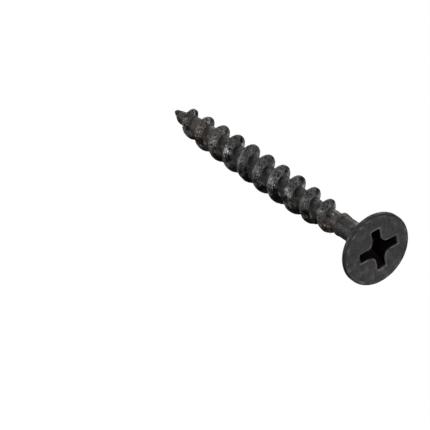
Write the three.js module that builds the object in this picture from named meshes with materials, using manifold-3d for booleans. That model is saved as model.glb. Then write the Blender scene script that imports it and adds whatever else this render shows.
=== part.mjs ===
// Coarse-thread wood screw with a bugle head and a cross recess, 3.9 x 38 mm, in one forging of
// steel with a black phosphate coat. The screw lies along X: the head's flat face is in the plane
// x = 0, looking along +X, and the point is at x = -38. Lengths are millimetres, and every depth is
// measured from the head's face towards the point.
//
// The real screw is headed, rolled and pinched out of one piece of wire, so its four regions meet
// face to face on shared planes: bugle_head, smooth_neck, threaded_shank and gimlet_point.

import * as THREE from "three";
import { ParametricGeometry } from "three/addons/geometries/ParametricGeometry.js";
import { mergeVertices } from "three/addons/utils/BufferGeometryUtils.js";
import Module from "manifold-3d";

const wasm = await Module();
wasm.setup();

// ---- driving dimensions ----

const screwLength = 38;

// Head: a flat face with an eased edge, a narrow rim band, and a trumpet underside.
const headRadius = 4;
const faceRadius = 3.72;
const faceEaseDepth = 0.08;
const rimDepth = 0.52;
const headDepth = 4.5;
const underheadSteps = 10;

// Cross recess, size 2. The punch struck a little off the head's centre.
const recessReach = 2.4; // from the recess's centre to the end of a wing, at the face
const recessWingWidth = 1.06;
const recessCornerRadius = 0.78; // the lobes of metal between two wings
const recessWingTaper = THREE.MathUtils.degToRad(26.5);
const recessWingDepth = 2.3;
const recessDepth = 2.8;
const recessOffset = [0.24, -0.05]; // along Y and Z
const recessTurn = THREE.MathUtils.degToRad(9.6); // from the Y axis to the first wing

// Shank: a smooth neck, then a root cylinder that carries one right-handed thread.
const neckRadius = 1.15;
const neckEndDepth = 6;
const pointStartDepth = 32;
const pointPower = 0.48; // the blunt ogive: radius grows as this power of the distance from the tip

const pitch = 2.875;
const crestWidth = 0.14;
const threadBaseWidth = 1.4; // with its root fillets
const flankHollow = 1.15; // over 1 gives the flank a hollow, filleted foot
const crestTurn = THREE.MathUtils.degToRad(124.5); // where the crest line meets the plane x = 0

// Radius of the thread's crest and of its root along the screw, as [depth, radius].
const crestOutline = [
  [6, 1.15],
  [7.6, 1.55],
  [9, 1.71],
  [15, 1.95],
  [24, 1.95],
  [31, 1.82],
  [34, 1.56],
  [35, 1.52],
  [36.2, 1],
  [37, 0.5],
  [37.6, 0.35],
  [screwLength, 0],
];
const rootOutline = [
  [6, 1.15],
  [7.2, 0.96],
  [12, 0.96],
  [14, 1.02],
  [33, 1.02],
];

// Facets round the axis.
const roundSteps = 48;
const threadSteps = 36;

// ---- materials ----

const phosphateFace = new THREE.MeshStandardMaterial({
  name: "phosphate_head",
  color: 0x4b4b4f,
  roughness: 0.55,
  metalness: 0.6,
});
const phosphateShank = new THREE.MeshStandardMaterial({
  name: "phosphate_shank",
  color: 0x45423e,
  roughness: 0.6,
  metalness: 0.6,
});

// ---- solids and meshes ----

// A closed three.js geometry as a manifold solid. Rows that a shape squeezes onto one point or one
// plane leave triangles with two equal corners, and those are dropped.
function solidOf(geometry) {
  geometry.deleteAttribute("normal");
  geometry.deleteAttribute("uv");
  const merged = mergeVertices(geometry, 1e-4);
  const corners = merged.index.array;
  const kept = [];
  for (let i = 0; i < corners.length; i += 3) {
    const [a, b, c] = corners.slice(i, i + 3);
    if (a !== b && b !== c && c !== a) kept.push(a, b, c);
  }
  return new wasm.Manifold(
    new wasm.Mesh({
      numProp: 3,
      vertProperties: new Float32Array(merged.attributes.position.array),
      triVerts: new Uint32Array(kept),
    }),
  );
}

function meshOf(name, solid, material) {
  const { vertProperties, triVerts } = solid.getMesh();
  const geometry = new THREE.BufferGeometry();
  geometry.setAttribute("position", new THREE.BufferAttribute(vertProperties, 3));
  geometry.setIndex(new THREE.BufferAttribute(triVerts, 1));
  geometry.computeVertexNormals();
  const mesh = new THREE.Mesh(geometry, material);
  mesh.name = name;
  return mesh;
}

// A solid of revolution about the X axis from [radius, depth] points, which start and end on it.
function turned(profile) {
  const points = profile.map(([radius, depth]) => new THREE.Vector2(radius, -depth));
  const geometry = new THREE.LatheGeometry(points.reverse(), roundSteps);
  geometry.rotateZ(-Math.PI / 2);
  return solidOf(geometry);
}

// ---- head ----

// The underside is one arc from the rim band, tangent to the neck where the head ends.
function underheadArc() {
  const depthSpan = headDepth - rimDepth;
  const radiusSpan = headRadius - neckRadius;
  const arcRadius = (depthSpan ** 2 + radiusSpan ** 2) / (2 * radiusSpan);
  const sweep = Math.asin(depthSpan / arcRadius);
  const points = [];
  for (let i = 0; i <= underheadSteps; i++) {
    const angle = sweep * (1 - i / underheadSteps);
    points.push([
      neckRadius + arcRadius * (1 - Math.cos(angle)),
      headDepth - arcRadius * Math.sin(angle),
    ]);
  }
  return points;
}

// The recess's outline: four wings with rounded lobes of metal between them.
function recessOutline() {
  const half = recessWingWidth / 2;
  const lobeCentre = half + recessCornerRadius;
  const outline = new THREE.Shape();
  const past = recessReach * 1.2; // the taper cuts the wings to length
  for (let wing = 0; wing < 4; wing++) {
    const turn = recessTurn + (wing * Math.PI) / 2;
    const at = (along, across) => [
      recessOffset[0] + along * Math.cos(turn) - across * Math.sin(turn),
      recessOffset[1] + along * Math.sin(turn) + across * Math.cos(turn),
    ];
    if (wing === 0) outline.moveTo(...at(past, -half));
    else outline.lineTo(...at(past, -half));
    outline.lineTo(...at(past, half));
    outline.absarc(
      ...at(lobeCentre, lobeCentre),
      recessCornerRadius,
      turn - Math.PI / 2,
      turn - Math.PI,
      true,
    );
  }
  return outline;
}

function recessSolid() {
  const above = 0.5; // the tool stands clear of the face
  const wings = new THREE.ExtrudeGeometry(recessOutline(), {
    depth: recessDepth + above,
    bevelEnabled: false,
    curveSegments: 8,
  });
  wings.translate(0, 0, -recessDepth);
  // the outline's x, y and the extrusion's z become Y, Z and X
  wings.applyMatrix4(new THREE.Matrix4().set(0, 0, 1, 0, 1, 0, 0, 0, 0, 1, 0, 0, 0, 0, 0, 1));
  const narrowing = Math.tan(recessWingTaper);
  const taper = turned([
    [0, -above],
    [recessReach + above * narrowing, -above],
    [recessReach - recessWingDepth * narrowing, recessWingDepth],
    [0, recessDepth],
  ]).translate(0, ...recessOffset);
  return solidOf(wings).intersect(taper);
}

function headSolid() {
  const bugle = turned([
    [0, 0],
    [faceRadius, 0],
    [(faceRadius + headRadius) / 2, faceEaseDepth * 0.35],
    [headRadius, faceEaseDepth],
    ...underheadArc(),
    [0, headDepth],
  ]);
  return bugle.subtract(recessSolid());
}

// ---- thread ----

function radiusAt(outline, depth) {
  const next = outline.findIndex(([end]) => end >= depth);
  if (next === 0) return outline[0][1];
  if (next < 0) return outline.at(-1)[1];
  const [fromDepth, fromRadius] = outline[next - 1];
  const [toDepth, toRadius] = outline[next];
  return fromRadius + ((toRadius - fromRadius) * (depth - fromDepth)) / (toDepth - fromDepth);
}

function rootRadius(depth) {
  const shank = radiusAt(rootOutline, depth);
  const ogive = ((screwLength - depth) / (screwLength - rootOutline.at(-1)[0])) ** pointPower;
  return shank * Math.min(1, ogive);
}

// The depth of the crest line at an angle round the axis, on the turn that crosses x = 0.
const crestDepth = (angle) => (pitch * (crestTurn - angle)) / (2 * Math.PI);

function threadRadius(depth, angle) {
  const turnsAway = (depth - crestDepth(angle)) / pitch;
  const away = Math.abs(turnsAway - Math.round(turnsAway)) * pitch;
  const downFlank = (away - crestWidth / 2) / ((threadBaseWidth - crestWidth) / 2);
  const height = (1 - THREE.MathUtils.clamp(downFlank, 0, 1)) ** flankHollow;
  const root = rootRadius(depth);
  return root + Math.max(0, radiusAt(crestOutline, depth) - root) * height;
}

// One stretch of the screw between two planes. Its rows of facets follow the helix, and rows that
// would pass a plane are held on it, so that neighbours share the same edge there.
function threaded(startDepth, endDepth, flankSteps, rootSteps) {
  const flank = (threadBaseWidth - crestWidth) / 2;
  const rows = [];
  for (let i = 0; i <= flankSteps; i++) rows.push(-threadBaseWidth / 2 + (flank * i) / flankSteps);
  for (let i = 0; i <= flankSteps; i++) rows.push(crestWidth / 2 + (flank * i) / flankSteps);
  const rootGap = pitch - threadBaseWidth;
  for (let i = 1; i < rootSteps; i++) rows.push(threadBaseWidth / 2 + (rootGap * i) / rootSteps);
  const firstTurn = Math.floor((startDepth - crestDepth(0)) / pitch) - 1;
  const lastTurn = Math.ceil((endDepth - crestDepth(2 * Math.PI)) / pitch) + 1;
  const rowCount = (lastTurn - firstTurn) * rows.length;
  const place = (u, v, target) => {
    const angle = Math.round((1 - u) * threadSteps) * ((2 * Math.PI) / threadSteps);
    const row = Math.round(v * (rowCount + 1)) - 1;
    const onAxis = row < 0 || row === rowCount;
    const turn = firstTurn + Math.floor(row / rows.length);
    const wanted = crestDepth(angle) + turn * pitch + rows[(row + rows.length) % rows.length];
    const depth = onAxis
      ? row < 0 ? startDepth : endDepth
      : THREE.MathUtils.clamp(wanted, startDepth, endDepth);
    const radius = onAxis ? 0 : threadRadius(depth, angle);
    target.set(-depth, radius * Math.cos(angle), radius * Math.sin(angle));
  };
  return solidOf(new ParametricGeometry(place, threadSteps, rowCount + 1));
}

// ---- the screw ----

const smoothNeck = turned([
  [0, headDepth],
  [neckRadius, headDepth],
  [neckRadius, neckEndDepth],
  [0, neckEndDepth],
]);

const woodScrew = new THREE.Group();
woodScrew.name = "wood_screw";
woodScrew.add(
  meshOf("bugle_head", headSolid(), phosphateFace),
  meshOf("smooth_neck", smoothNeck, phosphateShank),
  meshOf("threaded_shank", threaded(neckEndDepth, pointStartDepth, 2, 1), phosphateShank),
  meshOf("gimlet_point", threaded(pointStartDepth, screwLength, 4, 6), phosphateShank),
);

export default woodScrew;
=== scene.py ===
"""A black phosphated wood screw lying on its side on a pale surface.

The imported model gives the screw's regions and their planes. Here each region gets a fine mesh of
the same size: eased and burred edges on the head and its cross recess, a rounded and slightly
battered rolled thread, a raised ring where the rolling starts, and a pinched point.
The screw lies along X with its head's face at x = 0. Lengths in the tables of sizes below are
millimetres, depths run from the face towards the point, and MM turns them into Blender's metres.
"""

import math

import bpy
import numpy as np
from mathutils import Matrix, Vector, noise


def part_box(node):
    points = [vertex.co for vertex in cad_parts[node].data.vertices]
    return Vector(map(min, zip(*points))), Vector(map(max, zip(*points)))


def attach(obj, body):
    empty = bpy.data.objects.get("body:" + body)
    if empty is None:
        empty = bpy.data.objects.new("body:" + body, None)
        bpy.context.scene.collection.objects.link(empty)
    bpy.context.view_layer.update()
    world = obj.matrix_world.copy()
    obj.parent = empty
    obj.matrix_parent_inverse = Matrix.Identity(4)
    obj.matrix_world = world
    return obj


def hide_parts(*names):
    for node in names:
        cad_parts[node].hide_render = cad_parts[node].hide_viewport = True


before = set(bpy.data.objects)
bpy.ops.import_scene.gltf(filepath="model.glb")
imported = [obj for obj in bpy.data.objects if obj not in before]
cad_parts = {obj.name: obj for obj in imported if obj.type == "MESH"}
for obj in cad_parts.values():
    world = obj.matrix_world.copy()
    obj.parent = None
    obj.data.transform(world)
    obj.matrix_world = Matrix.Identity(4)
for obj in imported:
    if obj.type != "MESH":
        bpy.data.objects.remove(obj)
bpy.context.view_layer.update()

MM = 0.001
TURN = 2 * math.pi

# ---- sizes that come from the frame ----


def depth_span(node):
    """The depths at which a node starts and ends."""
    low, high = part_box(node)
    return -high.x / MM, -low.x / MM


HEAD_DEPTH = depth_span("bugle_head")[1]
NECK_END = depth_span("smooth_neck")[1]
POINT_START, SCREW_LENGTH = depth_span("gimlet_point")
HEAD_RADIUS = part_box("bugle_head")[1].z / MM
NECK_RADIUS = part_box("smooth_neck")[1].z / MM

# ---- head and recess ----

FACE_RADIUS = 3.72  # the flat part of the head's end
FACE_EASE = 0.08  # depth of the eased edge round it
RIM_DEPTH = 0.52
RIM_SAG = 0.015  # how far the rim band bulges

RECESS_CENTRE = (0.24, -0.05)  # along Y and Z: the punch struck a little off centre
RECESS_TURN = math.radians(9.6)
WING_REACH = 2.38
WING_HALF_WIDTH = 0.53
LOBE_RADIUS = 0.78
LOBE_CENTRE = WING_HALF_WIDTH + LOBE_RADIUS
WING_TAPER = math.tan(math.radians(26.5))
WING_DEPTH = 2.2
RECESS_DEPTH = 2.8
RECESS_EASE = 0.07  # the rounded, burred edge where the recess meets the face

# ---- shank and thread ----

PITCH = 2.875
CREST_WIDTH = 0.14
BASE_WIDTH = 1.3
FLANK_HOLLOW = 1.06  # over 1 makes the flank a little hollow
CREST_ROUNDING = 0.04  # as a share of the flank
ROOT_ROUNDING = 0.04
CREST_TURN = math.radians(124.5)

# Depths, then the crest's and the root's radius at each.
CREST_DEPTHS = [6, 7.6, 9, 15, 24, 31, 34, 35, 36.2, 37, 37.6, SCREW_LENGTH]
CREST_RADII = [1.15, 1.55, 1.71, 1.95, 1.95, 1.82, 1.56, 1.52, 1, 0.5, 0.35, 0]
ROOT_DEPTHS = [NECK_END, 6.7, 12, 14, 33]
ROOT_RADII = [NECK_RADIUS, 0.97, 0.96, 1.02, 1.02]
POINT_POWER = 0.48  # the blunt point: its radius grows as this power of the distance from the tip
NECK_REACH = 0.09  # how far the heading dies left the neck off the axis
NECK_TURN = math.radians(42)  # and in which direction round the axis

RING_DEPTH = 5.93  # the ring of metal pushed up where the rolling starts
RING_HEIGHT = 0.07
RING_WIDTH = 0.22

ROUND_STEPS = 156  # points round the axis

# ---- unevenness that the dies and handling leave ----

RANDOM_SEED = 11
CHANNEL_STEP = Vector((17.3, 5.1, 9.7))  # far enough apart that no two channels look alike
DENT_SIZE = 0.9
DENT_HEIGHT = 0.01
GRAIN_SIZE = 0.32
GRAIN_HEIGHT = 0.007
TORN_HEIGHT = 0.02  # the extra grain where the rolling starts
NICK_SIZE = 0.7
NICK_DEPTH = 0.07  # of the nicks along the crest
FACE_SINK = 0.012  # keeps the waves of the face behind its plane
FACE_WAVE = 0.006

# Depths where something fades in, is full, starts to fade and is gone.
TORN_STRETCH = (5.6, 6, 7.4, 8.6)
SHIFTED_NECK = (1, 4, 6, 10)
POINT_STAIN = (26, 29, 33, 35)
# The brown stain beside the neck is full up to the first depth and gone at the second.
NECK_STAIN_FADE = (7.5, 8.5)

# ---- finish ----

BARE_STEEL = (0.4, 0.39, 0.38)  # the colour where the coat is worn through
PAINTED_RECESS_BLACK = (0.012, 0.007, 0.01)  # painted shade: the near-black colour put inside the recess
ROOT_STAIN = 0.3  # how much of the brown oil stain lies in the root of the thread
ROOT_DULLING = 0.25  # how much rougher the root is than the flanks
NECK_SHELTER = 0.8  # how much the neck's finish is like the root's
STREAKS_ACROSS = 20  # cells of the streaks' noise per millimetre across the thread
STREAKS_AROUND = 5  # and per radian round the screw

# ---- camera and floor ----

VIEW_AIM = (-19.03, -7.22, -2.17)  # a point beside the middle of the screw
VIEW_DISTANCE = 267.4
VIEW_AZIMUTH = math.radians(58.06)
VIEW_ELEVATION = math.radians(29.88)
LENS = 211.8
FLOOR_HALF_WIDTH = 1500

# ---- lamps ----

SOFTBOX_SIZE = 190
SOFTBOX_DISTANCE = 600

# Azimuth and elevation in degrees, and watts. Most of the light comes from the right and from
# behind. The lamps below the floor stand for the light that a pale table throws back up.
SOFTBOXES = {
    "right": (118, 28, 0.15),
    "right_low": (87, 21, 0.6),
    "right_high": (75, 45, 0.35),
    "back_right_high": (135, 45, 0.3),
    "back_right_low": (155, 8, 0.2),
    "back_low": (180, 8, 0.3),
    "back_left": (225, 24, 0.2),
    "left_low": (-125, 8, 0.3),
    "left_high": (-90, 40, 0.45),
    "front_left": (-60, 10, 0.5),
    "front_low": (-20, 8, 0.35),
    "table_right": (120, -35, 0.3),
    "table_back": (200, -35, 0.15),
    "table_front": (10, -35, 0.6),
}


# ---- helpers ----


def smoothstep(low, high, value):
    """0 below low, 1 above high, and a smooth step between."""
    t = np.clip((value - low) / (high - low), 0, 1)
    return t * t * (3 - 2 * t)


def along_stretch(depth, fades_in, full, fades_out, gone):
    """1 on a stretch of the screw and 0 outside it, with soft ends."""
    return smoothstep(fades_in, full, depth) * (1 - smoothstep(fades_out, gone, depth))


def soft_ramp(value, rounding):
    """0 below 0 and the value itself above it, with a rounded bend between."""
    return (value + np.sqrt(value**2 + rounding**2)) / 2


def bumps(points, size, channel):
    """Smooth random values from about -1 to 1 at points in millimetres, with features of one size."""
    shift = CHANNEL_STEP * (channel + RANDOM_SEED)
    values = [noise.noise(Vector(point) + shift) for point in points.reshape(-1, 3) / size]
    return 1.6 * np.array(values).reshape(points.shape[:-1])


def off_axis(points):
    """How far points are from the screw's axis."""
    return np.hypot(points[..., 1], points[..., 2])


def pushed_out(points, distance):
    """Points moved away from the screw's axis. A point on the axis stays there."""
    scale = 1 + distance / np.maximum(off_axis(points), 0.2)
    return points * np.stack([np.ones_like(scale), scale, scale], axis=-1)


def handled(points):
    """Points with the unevenness that the dies leave: slight on the neck, more on the thread, and
    most where the rolling starts."""
    depth = -points[..., 0]
    rolled = smoothstep(NECK_END - 0.5, NECK_END + 0.3, depth)
    grain_height = GRAIN_HEIGHT + TORN_HEIGHT * along_stretch(depth, *TORN_STRETCH)
    dents = DENT_HEIGHT * bumps(points, DENT_SIZE, 1) + grain_height * bumps(points, GRAIN_SIZE, 2)
    return pushed_out(points, dents * (0.2 + 0.8 * rolled))


def on_screw(depth, radius, angle):
    """Points in millimetres at a depth, a distance from the axis and an angle round it."""
    depth, radius, angle = np.broadcast_arrays(depth, radius, angle)
    return np.stack([-depth, radius * np.cos(angle), radius * np.sin(angle)], axis=-1)


def shifted(points):
    """Points moved to where the dies left them, with the neck a little to one side."""
    depth = -points[..., 0]
    reach = NECK_REACH * along_stretch(depth, *SHIFTED_NECK)
    side = np.array([0, math.cos(NECK_TURN), math.sin(NECK_TURN)])
    return points + reach[..., None] * side


def solid(name, grid, masks, material):
    """A closed mesh from a grid of points whose rows run round the axis.

    The first and last rows are single points on the axis. Points that meet are joined, so rows
    held on one plane close up. Each mask is a value per point, kept as an attribute of the mesh,
    and a mask that a mesh doesn't have counts as 0 in the materials.
    """
    rows, columns, _ = grid.shape
    # adding zero turns -0.0 into 0.0, so that equal points are found equal
    rounded = np.round(shifted(grid).reshape(-1, 3), 5) + 0.0
    points, first, index = np.unique(rounded, axis=0, return_index=True, return_inverse=True)
    corner = index.reshape(rows, columns)
    quads = np.stack([corner[:-1, :-1], corner[1:, :-1], corner[1:, 1:], corner[:-1, 1:]], axis=-1)
    faces = []
    for quad in quads.reshape(-1, 4).tolist():
        loop = list(dict.fromkeys(quad))
        if len(loop) > 2:
            faces.append(loop)
    mesh = bpy.data.meshes.new(name)
    mesh.from_pydata((points * MM).tolist(), [], faces)
    mesh.validate()
    for mask, values in masks.items():
        values = np.broadcast_to(values, (rows, columns)).reshape(-1)[first]
        attribute = mesh.attributes.new(mask, "FLOAT", "POINT")
        attribute.data.foreach_set("value", values.astype(np.float32))
    mesh.shade_smooth()
    mesh.set_sharp_from_angle(angle=math.radians(50))
    mesh.materials.append(material)
    piece = bpy.data.objects.new(name, mesh)
    bpy.context.scene.collection.objects.link(piece)
    return piece


# ---- head ----


def recess_outline(reach, half_width):
    """The cross as points (Y, Z): four wings, with round lobes of metal between them.

    Each point is worked out as a complex number, along a wing and across it.
    """
    lobe_radius = LOBE_CENTRE - half_width
    corner = math.asin(half_width / reach)
    end = reach * np.exp(1j * np.linspace(-corner, corner, 9))
    side = np.linspace(end[-1].real, LOBE_CENTRE, 8)[1:-1] + 1j * half_width
    around_lobe = np.exp(1j * np.linspace(-math.pi / 2, -math.pi, 15))
    lobe = LOBE_CENTRE * (1 + 1j) + lobe_radius * around_lobe
    next_side = 1j * np.conj(side[::-1])
    wing = np.concatenate([end, side, lobe, next_side])
    outline = np.concatenate([wing * 1j**quarter for quarter in range(4)] + [wing[:1]])
    outline = outline * np.exp(1j * RECESS_TURN)
    return np.column_stack([outline.real, outline.imag]) + RECESS_CENTRE


def head_grid():
    """The head's surface in rows, from the recess's floor over the face and the rim to the neck,
    and the name of the zone that each row belongs to."""
    rows, zones = [], []

    def add(zone, depth, outline):
        rows.append(np.column_stack([np.full(len(outline), -depth), outline]))
        zones.append(zone)

    for depth in np.linspace(WING_DEPTH, RECESS_EASE, 12):
        outline = recess_outline(WING_REACH - depth * WING_TAPER, WING_HALF_WIDTH - 0.02 * depth)
        if not rows:
            for t in np.linspace(0, 1, 6)[:-1]:
                floor_depth = RECESS_DEPTH + (WING_DEPTH - RECESS_DEPTH) * t
                add("recess", floor_depth, RECESS_CENTRE + (outline - RECESS_CENTRE) * t)
        add("recess", depth, outline)
    for a in np.linspace(0, math.pi / 2, 6)[1:]:
        widen = RECESS_EASE * (1 - math.cos(a))
        outline = recess_outline(WING_REACH + widen, WING_HALF_WIDTH + widen)
        add("lip", RECESS_EASE * (1 - math.sin(a)), outline)

    spokes = outline - RECESS_CENTRE
    around = spokes / np.linalg.norm(spokes, axis=1)[:, None]
    for t in np.linspace(0, 1, 16)[1:]:
        add("face", 0, outline * (1 - t) + around * FACE_RADIUS * t)
    rim_radius = HEAD_RADIUS - RIM_SAG
    for a in np.linspace(0, math.pi / 2, 7)[1:]:
        radius = FACE_RADIUS + (rim_radius - FACE_RADIUS) * math.sin(a)
        add("edge", FACE_EASE * (1 - math.cos(a)), around * radius)
    for t in np.linspace(0, 1, 6)[1:]:
        radius = rim_radius + RIM_SAG / 2 * math.sin(math.pi * t)
        add("rim", FACE_EASE + (RIM_DEPTH - FACE_EASE) * t, around * radius)
    sink = HEAD_DEPTH - RIM_DEPTH
    flare = rim_radius - NECK_RADIUS
    arc_radius = (sink**2 + flare**2) / (2 * flare)
    for a in np.linspace(math.asin(sink / arc_radius), 0, 48)[1:]:
        radius = NECK_RADIUS + arc_radius * (1 - math.cos(a))
        add("trumpet", HEAD_DEPTH - arc_radius * math.sin(a), around * radius)
    add("trumpet", HEAD_DEPTH, around * 0)
    return np.array(rows), np.array(zones)


def make_head(material):
    """The bugle head, with its edges worn bare and its recess darkened with painted shade."""
    grid, zones = head_grid()
    outer = np.isin(zones, ["rim", "trumpet"])[:, None]
    face = np.isin(zones, ["lip", "face"])[:, None]
    edge = (zones == "edge")[:, None]
    patch = bumps(grid, 0.8, 3) + 0.5 * bumps(grid, 0.25, 4)
    lip = grid[np.argmax(zones == "face") - 1]  # the lip's outer row, where the face begins
    from_lip = np.linalg.norm(grid - lip, axis=-1)
    shaped = np.where(outer[..., None], handled(grid), grid)
    shaped[..., 0] -= (face | edge) * (FACE_SINK + FACE_WAVE * patch)
    radius = off_axis(grid)
    from_edge = np.abs(radius - FACE_RADIUS - 0.02)
    worn_edge = (face | edge) * (1 - smoothstep(0.02, 0.1, from_edge)) * smoothstep(0.1, 0.9, patch)
    worn_lip = face * (1 - smoothstep(0.03, 0.17, from_lip)) * smoothstep(-0.8, 0.2, patch)
    masks = {
        "wear": np.maximum(worn_edge, worn_lip),
        # painted shade: deep in the recess the colour is near-black and the glints are dimmed
        "painted_recess_shade": (zones == "recess")[:, None] * smoothstep(0, 0.2, -grid[..., 0]),
    }
    return solid("forged_head", shaped, masks, material)


# ---- neck, thread and point ----


def crest_radius(depth):
    """The thread's outer radius, from its start beside the neck to the point."""
    return np.interp(depth, CREST_DEPTHS, CREST_RADII)


def root_radius(depth):
    """The shank's radius between the turns of the thread, with the ring where the rolling starts."""
    shank = np.interp(depth, ROOT_DEPTHS, ROOT_RADII)
    ogive = (np.clip(SCREW_LENGTH - depth, 0, None) / (SCREW_LENGTH - ROOT_DEPTHS[-1])) ** POINT_POWER
    ring = RING_HEIGHT * np.exp(-(((depth - RING_DEPTH) / RING_WIDTH) ** 2))
    return shank * np.minimum(1, ogive) + ring


def crest_depth(angle):
    """The depth of the crest line at an angle round the axis, on the turn that crosses x = 0."""
    return PITCH * (CREST_TURN - angle) / TURN


def crest_distance(depth, angle):
    """How far it is along the axis to the nearest crest line."""
    turns_away = (depth - crest_depth(angle)) / PITCH
    return np.abs(turns_away - np.round(turns_away)) * PITCH


def thread_height(depth, angle):
    """How far up its flank the thread is: 1 on the crest and 0 on the root."""
    away = crest_distance(depth, angle)
    down_flank = (away - CREST_WIDTH / 2) / ((BASE_WIDTH - CREST_WIDTH) / 2)
    fallen = soft_ramp(down_flank, CREST_ROUNDING) - soft_ramp(down_flank - 1, ROOT_ROUNDING)
    return np.clip(1 - fallen, 0, 1) ** FLANK_HOLLOW


def make_neck(material):
    """The plain neck, up to the plane where the thread starts."""
    angle = np.linspace(0, TURN, ROUND_STEPS + 1)
    depth = np.linspace(HEAD_DEPTH, NECK_END, 22)[:, None]
    surface = handled(on_screw(depth, root_radius(depth), angle))
    surface[:, -1] = surface[:, 0]
    grid = between_planes(surface, HEAD_DEPTH, NECK_END)
    depth = -grid[..., 0]
    masks = {"across": depth, "stain": smoothstep(5.4, 5.9, depth), "sheltered": NECK_SHELTER}
    return solid("plain_neck", grid, masks, material)


def between_planes(surface, start, end):
    """Rows of points closed at both ends, by a point on the axis in each plane."""
    columns = np.zeros((1, surface.shape[1]))
    return np.concatenate([on_screw(start, columns, 0), surface, on_screw(end, columns, 0)])


def thread_rows():
    """Distances from one crest line to the next, closest together over the crest."""
    half_crest = CREST_WIDTH / 2
    flank = (BASE_WIDTH - CREST_WIDTH) / 2
    over_crest = np.linspace(-half_crest, half_crest, 7)
    down = half_crest + flank * np.linspace(0, 1, 12)[1:] ** 1.4
    root = np.linspace(BASE_WIDTH / 2, PITCH - BASE_WIDTH / 2, 8)[1:-1]
    return np.concatenate([over_crest, down, root, PITCH - down[::-1]])


def make_thread(name, start, end, material):
    """One stretch of thread between two planes. Rows follow the helix, and rows that would pass a
    plane are held on it."""
    offsets = thread_rows()
    first_turn = math.floor((start - crest_depth(0)) / PITCH) - 1
    last_turn = math.ceil((end - crest_depth(TURN)) / PITCH) + 1
    places = (np.arange(first_turn, last_turn)[:, None] * PITCH + offsets).reshape(-1, 1)
    angle = np.linspace(0, TURN, ROUND_STEPS + 1)
    depth = np.clip(crest_depth(angle) + places, start, end)
    across = crest_distance(depth, angle)
    height = thread_height(depth, angle)
    root = root_radius(depth)
    rise = np.maximum(0, crest_radius(depth) - root)
    plain = on_screw(depth, root + rise * height, angle)
    nicks = smoothstep(0.55, 1.1, bumps(plain, NICK_SIZE, 7)) * smoothstep(0.7, 1, height)
    surface = handled(pushed_out(plain, -NICK_DEPTH * nicks * np.minimum(1, rise)))
    # the last column is the first one again, a turn further along the helix
    turn_rows = len(offsets)
    surface[turn_rows:, -1] = surface[:-turn_rows, 0]
    surface[:turn_rows, -1] = surface[0, 0]

    grid = between_planes(surface, start, end)
    depth = -grid[..., 0]
    height, rise, across = (np.pad(values, ((1, 1), (0, 0))) for values in (height, rise, across))
    patch = bumps(grid, 1.1, 5) + 0.5 * bumps(grid, 0.35, 6)
    near_neck = 1 - smoothstep(*NECK_STAIN_FADE, depth)
    near_point = along_stretch(depth, *POINT_STAIN)
    beside_neck = 1 - smoothstep(NECK_END, NECK_END + 0.8, depth)
    in_root = (1 - smoothstep(0, 0.25, height)) * smoothstep(6.5, 9, depth)
    masks = {
        "wear": smoothstep(0.86, 0.98, height) * smoothstep(-0.5, 0.8, patch) * np.minimum(1, rise * 2),
        "across": across,
        "stain": np.maximum(near_neck, near_point),
        "sheltered": np.maximum(in_root, NECK_SHELTER * beside_neck),
    }
    return solid(name, grid, masks, material)


# ---- materials ----


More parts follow.
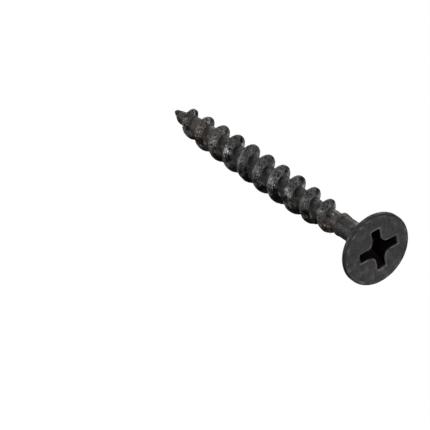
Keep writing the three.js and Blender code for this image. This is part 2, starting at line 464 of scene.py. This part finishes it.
def phosphate(name, dark, light, stain, ior, shine, roughness, relief_height, rolled):
    """Black phosphate on steel: fine crystals, cloudy patches, streaks that the dies left along the
    thread, brown oil stains, bare edges, and painted shade in the recess.

    The pattern is laid out in the screw's own millimetres, so it runs on from piece to piece. The
    masks of the mesh say where an edge is worn bare (wear), where oil has stained the coat (stain),
    where nothing rubs it (sheltered), where painted shade darkens the recess (cavity), and how many
    millimetres it is across the thread from the crest (across). Shine and roughness are each a low
    and a high value, and rolled is how much the streaks cut into the relief, from 0 to 1.
    """
    material = bpy.data.materials.new(name)
    material.use_nodes = True
    nodes, links = material.node_tree.nodes, material.node_tree.links
    shader = nodes["Principled BSDF"]
    shader.inputs["IOR"].default_value = ior

    def vector_node(operation, first, second):
        """A vector worked out from a socket and either three numbers or nothing."""
        node = nodes.new("ShaderNodeVectorMath")
        node.operation = operation
        links.new(first, node.inputs[0])
        if second:
            node.inputs[1].default_value = second
        return node.outputs["Vector"]

    place = nodes.new("ShaderNodeTexCoord")
    millimetres = vector_node("MULTIPLY", place.outputs["Object"], (1 / MM, 1 / MM, 1 / MM))
    around = vector_node("NORMALIZE", vector_node("MULTIPLY", millimetres, (0, 1, 1)), None)

    def mask(attribute):
        """A mask of the mesh, or 0 where the mesh doesn't have it."""
        node = nodes.new("ShaderNodeAttribute")
        node.attribute_name = attribute
        return node.outputs["Fac"]

    def pattern(feature_size, detail, low, high):
        """A noise texture with features of a size in millimetres, spread from 0 at low to 1 at high."""
        texture = nodes.new("ShaderNodeTexNoise")
        # a feature is about 0.6 of a cell of the noise
        texture.inputs["Scale"].default_value = 0.6 / feature_size
        texture.inputs["Detail"].default_value = detail
        links.new(millimetres, texture.inputs["Vector"])
        return spread(texture.outputs["Fac"], low, high)

    def mapped(value, side, low, high):
        """A value with one side of its mapping, From or To, set to low and high. The other is 0 to 1."""
        node = nodes.new("ShaderNodeMapRange")
        node.inputs[side + " Min"].default_value = low
        node.inputs[side + " Max"].default_value = high
        links.new(value, node.inputs["Value"])
        return node.outputs["Result"]

    def spread(value, low, high):
        """A value from low to high as one from 0 to 1."""
        return mapped(value, "From", low, high)

    def ranged(value, low, high):
        """A value from 0 to 1 as one from low to high."""
        return mapped(value, "To", low, high)

    def combined(operation, a, b):
        """Two values, each a number or a socket, in one sum, product or maximum."""
        node = nodes.new("ShaderNodeMath")
        node.operation = operation
        for socket, value in zip(node.inputs, (a, b)):
            if isinstance(value, (int, float)):
                socket.default_value = value
            else:
                links.new(value, socket)
        return node.outputs["Value"]

    def times(a, b):
        return combined("MULTIPLY", a, b)

    def blended(amount, under, over):
        """A colour over another, by an amount. Each colour is three numbers or a socket."""
        node = nodes.new("ShaderNodeMix")
        node.data_type = "RGBA"
        links.new(amount, node.inputs["Factor"])
        for socket, colour in ((node.inputs["A"], under), (node.inputs["B"], over)):
            if isinstance(colour, tuple):
                socket.default_value = (*colour, 1)
            else:
                links.new(colour, socket)
        return node.outputs["Result"]

    # streaks run round the thread, so this noise changes fast across it and slowly along it
    rolling = nodes.new("ShaderNodeTexNoise")
    rolling.noise_dimensions = "4D"
    rolling.inputs["Scale"].default_value = 1
    rolling.inputs["Detail"].default_value = 2
    streak_place = vector_node("MULTIPLY", around, (STREAKS_AROUND,) * 3)
    links.new(streak_place, rolling.inputs["Vector"])
    links.new(times(mask("across"), STREAKS_ACROSS), rolling.inputs["W"])
    streaks = spread(rolling.outputs["Fac"], 0.35, 0.65)

    # patches of three sizes, the smallest of them the crystals of the coat
    clouds = pattern(1.6, 3, 0.35, 0.65)
    mottle = pattern(0.5, 3, 0.3, 0.7)
    crystals = pattern(0.14, 2, 0.35, 0.65)
    wear = times(mask("wear"), ranged(mottle, 0.3, 1.2))

    colour = blended(times(ranged(clouds, 0.35, 1), mottle), dark, light)
    painted_recess_shade = mask("painted_recess_shade")
    sheltered = mask("sheltered")
    stained = combined("MAXIMUM", mask("stain"), times(sheltered, ROOT_STAIN))
    stained = times(stained, ranged(mottle, 0.1, 1))
    colour = blended(stained, colour, stain)
    # painted shade: the recess is coloured near-black
    colour = blended(painted_recess_shade, colour, PAINTED_RECESS_BLACK)
    colour = blended(wear, colour, BARE_STEEL)
    links.new(colour, shader.inputs["Base Color"])
    links.new(wear, shader.inputs["Metallic"])

    # crystals and streaks glint where the coat is rubbed, and in the recess the glints are dimmed as
    # painted shade
    exposed = ranged(sheltered, 1, 0.6)
    glint = times(times(ranged(crystals, 0.55, 1), streaks), exposed)
    # painted shade: glints in the recess drop to a tenth
    painted_shade_dimming = ranged(painted_recess_shade, 1, 0.1)
    links.new(times(ranged(glint, *shine), painted_shade_dimming), shader.inputs["Specular IOR Level"])
    dulled = times(sheltered, ROOT_DULLING)
    links.new(combined("ADD", ranged(mottle, *roughness), dulled), shader.inputs["Roughness"])

    relief = nodes.new("ShaderNodeBump")
    links.new(exposed, relief.inputs["Strength"])
    relief.inputs["Distance"].default_value = relief_height * MM
    grain = times(mottle, ranged(crystals, 0.3, 1))
    links.new(times(grain, ranged(streaks, 1 - rolled, 1)), relief.inputs["Height"])
    links.new(relief.outputs["Normal"], shader.inputs["Normal"])
    return material


# ---- the screw ----


def build_screw():
    """The four pieces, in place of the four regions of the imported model."""
    face_finish = phosphate(
        "phosphate_head", dark=(0.024, 0.0232, 0.0245), light=(0.062, 0.061, 0.064),
        stain=(0.05, 0.04, 0.03), ior=1.7, shine=(0.4, 0.6), roughness=(0.35, 0.6),
        relief_height=0.04, rolled=0.5,
    )
    shank_finish = phosphate(
        "phosphate_shank", dark=(0.013, 0.0115, 0.011), light=(0.028, 0.025, 0.023),
        stain=(0.11, 0.075, 0.052), ior=1.85, shine=(0.1, 1.5), roughness=(0.15, 0.37),
        relief_height=0.065, rolled=1,
    )
    pieces = {
        "bugle_head": make_head(face_finish),
        "smooth_neck": make_neck(shank_finish),
        "threaded_shank": make_thread("rolled_thread", NECK_END, POINT_START, shank_finish),
        "gimlet_point": make_thread("pinched_point", POINT_START, SCREW_LENGTH, shank_finish),
    }
    for node, piece in pieces.items():
        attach(piece, "root")
        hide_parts(node)
    return pieces.values()


# ---- floor, light and camera ----


def resting_line(pieces):
    """The lowest spot of the head's rim, and the slope of a floor that touches it and the thread."""
    spots = [piece.matrix_world @ vertex.co for piece in pieces for vertex in piece.data.vertices]
    rim = min(spots, key=lambda spot: spot.z)
    beyond = [spot for spot in spots if spot.x < -NECK_END * MM]
    return rim, min((spot.z - rim.z) / (rim.x - spot.x) for spot in beyond)


def build_floor(pieces):
    """A pale floor under the screw, and its upward direction."""
    rim, slope = resting_line(pieces)
    up = Vector((slope, 0, 1)).normalized()
    bpy.ops.mesh.primitive_plane_add(size=2 * FLOOR_HALF_WIDTH * MM, location=rim)
    floor = bpy.context.object
    floor.name = "pale_floor"
    floor.rotation_euler = up.to_track_quat("Z", "Y").to_euler()
    # the lamps below the floor shine through it, and the floor itself lights nothing
    floor.visible_diffuse = False
    floor.visible_glossy = False
    floor.visible_shadow = False
    material = bpy.data.materials.new("pale_floor")
    material.use_nodes = True
    shader = material.node_tree.nodes["Principled BSDF"]
    shader.inputs["Base Color"].default_value = (0.02, 0.02, 0.02, 1)
    shader.inputs["Specular IOR Level"].default_value = 0
    shader.inputs["Emission Color"].default_value = (1, 1, 1, 1)
    shader.inputs["Emission Strength"].default_value = 1
    floor.data.materials.append(material)
    return up


def build_backdrop():
    """White beyond the floor's edge. Only the camera sees it, so it adds no light."""
    world = bpy.data.worlds.new("backdrop")
    bpy.context.scene.world = world
    world.use_nodes = True
    world.node_tree.nodes["Background"].inputs["Color"].default_value = (1, 1, 1, 1)
    world.cycles_visibility.diffuse = False
    world.cycles_visibility.glossy = False


def back_vector(azimuth, elevation):
    """From the screw towards a camera at an azimuth, which is 0 looking along +Y, and elevation."""
    level = math.cos(elevation)
    return Vector((level * math.sin(azimuth), -level * math.cos(azimuth), math.sin(elevation)))


def add_softbox(name, azimuth, elevation, watts):
    """A square lamp that looks at the middle of the screw."""
    towards = back_vector(azimuth, elevation)
    lamp = bpy.data.lights.new(name, "AREA")
    lamp.shape = "SQUARE"
    lamp.size = SOFTBOX_SIZE * MM
    lamp.energy = watts
    softbox = bpy.data.objects.new(name, lamp)
    softbox.location = (Vector(VIEW_AIM) + towards * SOFTBOX_DISTANCE) * MM
    softbox.rotation_euler = towards.to_track_quat("Z", "Y").to_euler()
    bpy.context.scene.collection.objects.link(softbox)


def build_camera(up):
    """The camera of the main view, level with the floor."""
    back = back_vector(VIEW_AZIMUTH, VIEW_ELEVATION)
    right = up.cross(back).normalized()
    camera = bpy.data.objects.new("camera", bpy.data.cameras.new("camera"))
    camera.data.lens = LENS
    camera.data.clip_start = VIEW_DISTANCE * MM / 10
    placed = Matrix((right, back.cross(right), back)).transposed().to_4x4()
    placed.translation = (Vector(VIEW_AIM) + back * VIEW_DISTANCE) * MM
    camera.matrix_world = placed
    bpy.context.scene.collection.objects.link(camera)
    bpy.context.scene.camera = camera


screw = build_screw()
up = build_floor(screw)
build_backdrop()
for lamp_name, (azimuth, elevation, watts) in SOFTBOXES.items():
    add_softbox(lamp_name, math.radians(azimuth), math.radians(elevation), watts)
build_camera(up)
bpy.context.scene.view_settings.view_transform = "Standard"

bpy.context.view_layer.update()
